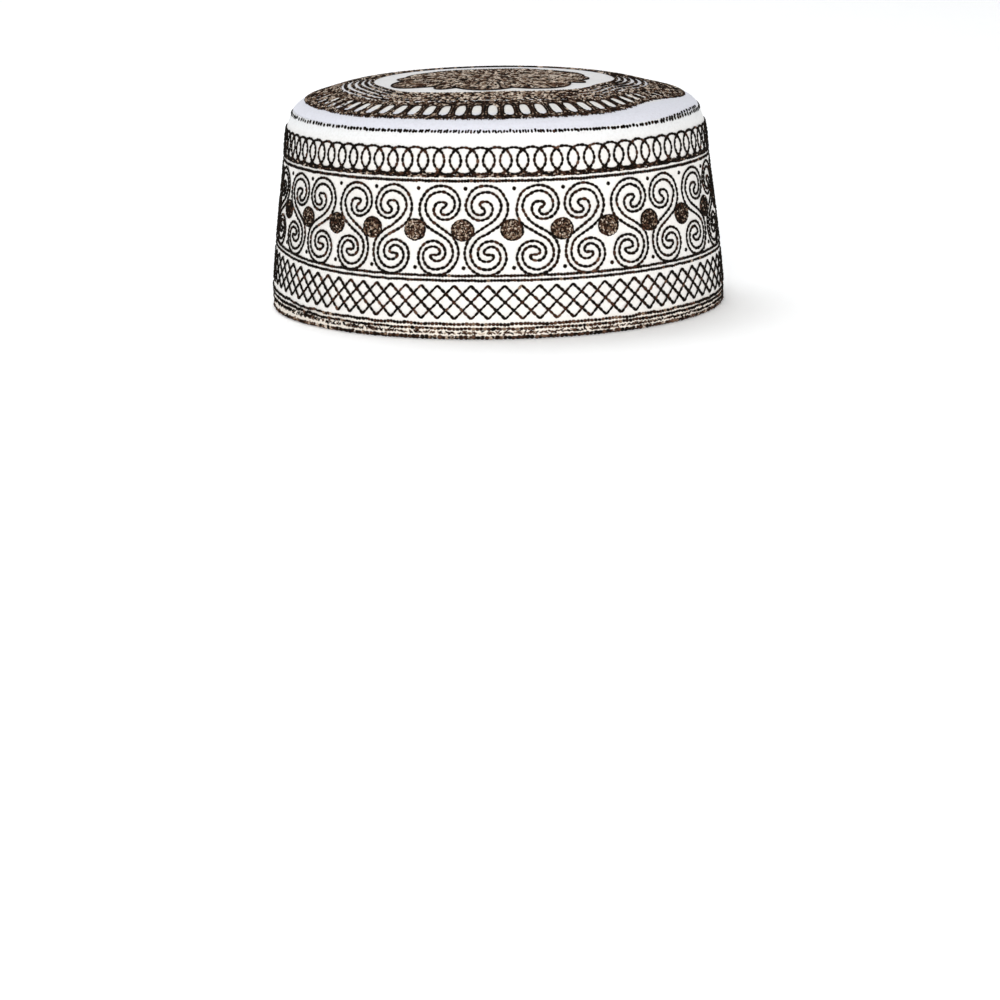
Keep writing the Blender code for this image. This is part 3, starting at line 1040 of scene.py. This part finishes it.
sewPiece("crown_border", [*scattered, crownRow(**crownRing["edge"]), *runs], "crown_cloth")


# In front and behind, loose stitches close the gaps between the rings; at the sides the gaps stay open,
# and in front so does the white ring.
def betweenRings(along, radius):
    crowded = np.cos(np.radians(along)) ** 2 * 2.6 - 0.35 - 0.3 * (61 - radius).clip(0, 2)
    inPattern = (radius < 62.2) | (along < 100) | (along > 312)
    return (dice.uniform(0, 1, len(along)) < crowded) & inPattern


ringTones = (1.5, 2, 3.2, 3, 1, 2, 3.4, 3.6)
rings = dict(
    radii=(61.6, 58.6, 55.7, 53.0, 50.5), apart=0.66,
    row=dict(pitch=1.25, slip=0.1, width=0.88, thick=0.62, lift=0.12, tones=ringTones),
    loose=dict(
        inner=50.4, outer=63.9, count=2000, lie=80, spread=30, length=1.3, width=0.8, thick=0.5, lift=0.12,
        tones=ringTones, keep=betweenRings,
    ),
)
ringRows = [
    crownRow(radius + side * rings["apart"] / 2, **rings["row"])
    for radius in rings["radii"]
    for side in (-1, 1)
]
sewPiece("crown_rings", [*ringRows, scatterRing(**rings["loose"])], "crown_cloth")

# Medallion: broad lobes with small leaves between them, each from one notch to the next.
medallion = dict(
    notch=37.2, flatBehind=0.16, middle=39.0, edgeRadius=41.0,
    notches=(-80.5, -40.0, -24.5, 12.0, 56.5, 69.5, 90.0, 128.0, 142.0, 180.0, 194.0, 232.0, 262.0),
    reaches=(47.0, 42.8, 42.4, 44.2, 42.0, 39.8, 38.4, 37.8, 39.5, 38.0, 39.0, 38.2, 40.2),
    padShares=(0.0, 0.2, 0.4, 0.6, 0.8, 0.93, 0.98, 1.0),
    padLifts=(0.12, 0.12, 0.12, 0.12, 0.12, 0.12, 0.1, -0.1),
    rows=((0.04, 0.24), (0.27, 0.47), (0.50, 0.70), (0.73, 0.93)),
    petalPitch=4.3, unevenness=0.12, swing=0.35,
    runsApart=1.15, runs=(-1.0, 0.0, 1.0, 1.87), swell=(0.45, 1.0, 0.45), slip=0.1, slipAlong=0.12,
    petalTones=(0.6, 0.8, 1.4, 1.5, 1.2, 1.6, 2.8, 3.2), gapTones=(4, 3, 2, 1, 0.3),
    run=dict(width=1.12, thick=0.4, sides=4, lift=0.14),
    flecks=dict(
        inner=1.0, outer=42.5, count=900, lie=50, spread=40, length=1.5, width=0.6, thick=0.4, lift=0.2,
    ),
    flecksInwards=0.8, edgePitch=1.5, edgeInwards=0.3,
    edge=dict(width=1.0, thick=0.5, lift=0.1, tones=(4, 4, 2, 1)),
)


# The medallion's radius: notch + (reach - notch) sin(pi u)^0.85, u being the share of the way between
# two notches, less a part behind.
def rosette(along):
    edges = np.array([*medallion["notches"], medallion["notches"][0] + 360.0])
    turn = (along - edges[0]) % 360 + edges[0]
    lobe = np.clip(np.searchsorted(edges, turn, side="right") - 1, 0, len(edges) - 2)
    u = (turn - edges[lobe]) / (edges[lobe + 1] - edges[lobe])
    reach = np.array(medallion["reaches"])[lobe]
    radius = medallion["notch"] + (reach - medallion["notch"]) * np.sin(math.pi * u).clip(0) ** 0.85
    return radius * (1 - medallion["flatBehind"] * (-np.cos(np.radians(along))).clip(0) ** 1.5)


along = np.arange(720) / 2.0
across = np.array(medallion["padShares"])[:, None] * rosette(along)
pad = np.stack(np.broadcast_arrays(along, across), -1)
padPiece("medallion_pad", onCrown, np.zeros(1), pad, np.array(medallion["padLifts"])[:, None], "crown_cloth")
# Petals in rows that follow the outline: three runs of lighter stitches that swell in the middle,
# and a dark run between one petal and the next.
petals = []
for low, high in medallion["rows"]:
    middleAt = medallion["middle"] * (low + high) / 2
    count = int(round(fullTurn * middleAt / medallion["petalPitch"]))
    turn = nearlyEvenly(count, medallion["unevenness"]) * 360
    swing = dice.normal(0, medallion["swing"], count)
    across = np.array([low, (low + high) / 2, high])
    for run in medallion["runs"]:
        inPetal = run < 1.5
        swell = np.array(medallion["swell"]) if inPetal else np.ones(3)
        tones = medallion["petalTones"] if inPetal else medallion["gapTones"]
        aside = run * medallion["runsApart"] * swell + swing[:, None] * np.array([-1.0, 0.0, 1.0])
        aside = aside + dice.normal(0, medallion["slip"], (count, 3))
        at = turn[:, None] + aside / middleAt * radian
        out = across * rosette(at) + dice.normal(0, medallion["slipAlong"], at.shape)
        holes = np.stack([at, out], -1)
        petals.append(sew(onCrown, holes[:, :-1], holes[:, 1:], tones=tones, **medallion["run"]))
flecks = scatterRing(
    **medallion["flecks"], tones=medallion["petalTones"],
    keep=lambda along, radius: radius < rosette(along) - medallion["flecksInwards"],
)
at = np.linspace(0, 360, 1441)
toLength = np.array([medallion["edgeRadius"] / radian, 1.0])
outline = np.stack([at, rosette(at) - medallion["edgeInwards"]], -1) * toLength
holes = holesAlong(outline, medallion["edgePitch"]) / toLength
edgeRun = sew(onCrown, holes[:-1], holes[1:], **medallion["edge"])
sewPiece("medallion", [*petals, flecks, edgeRun], "crown_cloth")
print("crown stitched")

# Floor: a wide pale bowl, flat in the middle and curving up at its rim; its sizes are in metres.
floorLook = dict(flat=3.2, rim=5.0, rise=2.2, steps=96, dark=0.965, light=0.975, roughness=0.9)
spread = np.linspace(floorLook["flat"], floorLook["rim"], 24)[1:]
spread = np.concatenate([np.linspace(0, floorLook["flat"], 8), spread])
climb = shareOfWay(spread, floorLook["flat"], floorLook["rim"])
climb = floorLook["rise"] * (1 - np.sqrt(1 - np.clip(climb, 0, 0.999) ** 2))
angle = evenly(floorLook["steps"]) * fullTurn
spread, climb = spread[:, None], climb[:, None] * np.ones(len(angle))
points = np.stack([spread * np.sin(angle), -spread * np.cos(angle), climb], -1)
floorMesh = bpy.data.meshes.new("studio_floor")
floorMesh.from_pydata(points.reshape(-1, 3).tolist(), [], gridQuads(len(spread), len(angle)).tolist())
floorMesh.shade_smooth()
floor = bpy.data.objects.new("studio_floor", floorMesh)
scene.collection.objects.link(floor)
# The paper is lit a little through its back, more where it rises, so that it stays white behind the cap.
floorMaterial, tree = newMaterial("studio paper")
place = readPlace(tree)
tone = rampNode(tree, noise(tree, place, 3.0, 2.0), [(0.3, floorLook["dark"]), (0.7, floorLook["light"])])
far = addNode(tree, "VectorMath", {0: place}, operation="LENGTH").outputs["Value"]
glow = rampNode(tree, maths(tree, "MULTIPLY", far, 0.2), [(0.4, 0.19), (0.66, 0.36)])
finishShader(tree, tone, floorLook["roughness"], 0.0, **{"Emission Color": glow, "Emission Strength": 1.0})
floorMesh.materials.append(floorMaterial)

# Light: a pale surround, a broad soft front light, two low ones at the sides and one from above.
surround = dict(color=(0.965, 0.985, 1.0, 1), strength=0.28)
world = bpy.data.worlds.new("studio")
scene.world = world
world.use_nodes = True
world.node_tree.nodes["Background"].inputs[0].default_value = surround["color"]
world.node_tree.nodes["Background"].inputs[1].default_value = surround["strength"]


# A round soft light at a place, in metres, that faces its aim.
def softLight(name, place, aim, size, power, color):
    light = bpy.data.lights.new(name, "AREA")
    light.shape = "DISK"
    light.size = size
    light.energy = power
    light.color = color
    holder = bpy.data.objects.new(name, light)
    holder.location = place
    holder.rotation_mode = "QUATERNION"
    holder.rotation_quaternion = (Vector(aim) - Vector(place)).to_track_quat("-Z", "Y")
    scene.collection.objects.link(holder)


studioLights = {
    "front light": dict(
        place=(-0.05, -2.6, 1.15), aim=(0, 0, 0.04), size=1.3, power=36.3, color=(1.0, 0.975, 0.945),
    ),
    "low right light": dict(
        place=(1.4, -1.65, 0.08), aim=(0, 0, 0.02), size=0.8, power=10.0, color=(1.0, 0.97, 0.94),
    ),
    "low left light": dict(
        place=(-1.5, -1.55, 0.08), aim=(0, 0, 0.02), size=0.8, power=5.0, color=(1.0, 0.98, 0.95),
    ),
    "top light": dict(
        place=(-0.5, 0.8, 1.95), aim=(-0.3, 0.5, 0.0), size=1.4, power=21.5, color=(0.96, 0.98, 1.0),
    ),
}
for name, light in studioLights.items():
    softLight(name, **light)

# Camera: at the photograph's angle, tilted down so that the cap stands high in the frame.
shot = dict(
    distance=1.8198, elevation=8.40, aimHeight=0.0406, tiltDown=3.87, turnRight=0.040, roll=0.95, lens=157.8,
)
cameraData = bpy.data.cameras.new("camera")
cameraData.lens = shot["lens"]
cameraData.sensor_width = 36.0
cameraData.clip_start, cameraData.clip_end = 0.05, 50.0
camera = bpy.data.objects.new("camera", cameraData)
scene.collection.objects.link(camera)
lift = math.radians(shot["elevation"])
aim = Vector((0, 0, shot["aimHeight"]))
camera.location = aim + shot["distance"] * Vector((0, -math.cos(lift), math.sin(lift)))
camera.rotation_mode = "QUATERNION"
look = (aim - camera.location).to_track_quat("-Z", "Y")
look = look @ Quaternion((0, 0, 1), -math.radians(shot["roll"]))
look = look @ Quaternion((1, 0, 0), -math.radians(shot["tiltDown"]))
look = look @ Quaternion((0, 1, 0), -math.radians(shot["turnRight"]))
camera.rotation_quaternion = look
scene.camera = camera
scene.view_settings.view_transform = "Standard"
scene.view_settings.look = "None"

print("scene ready")
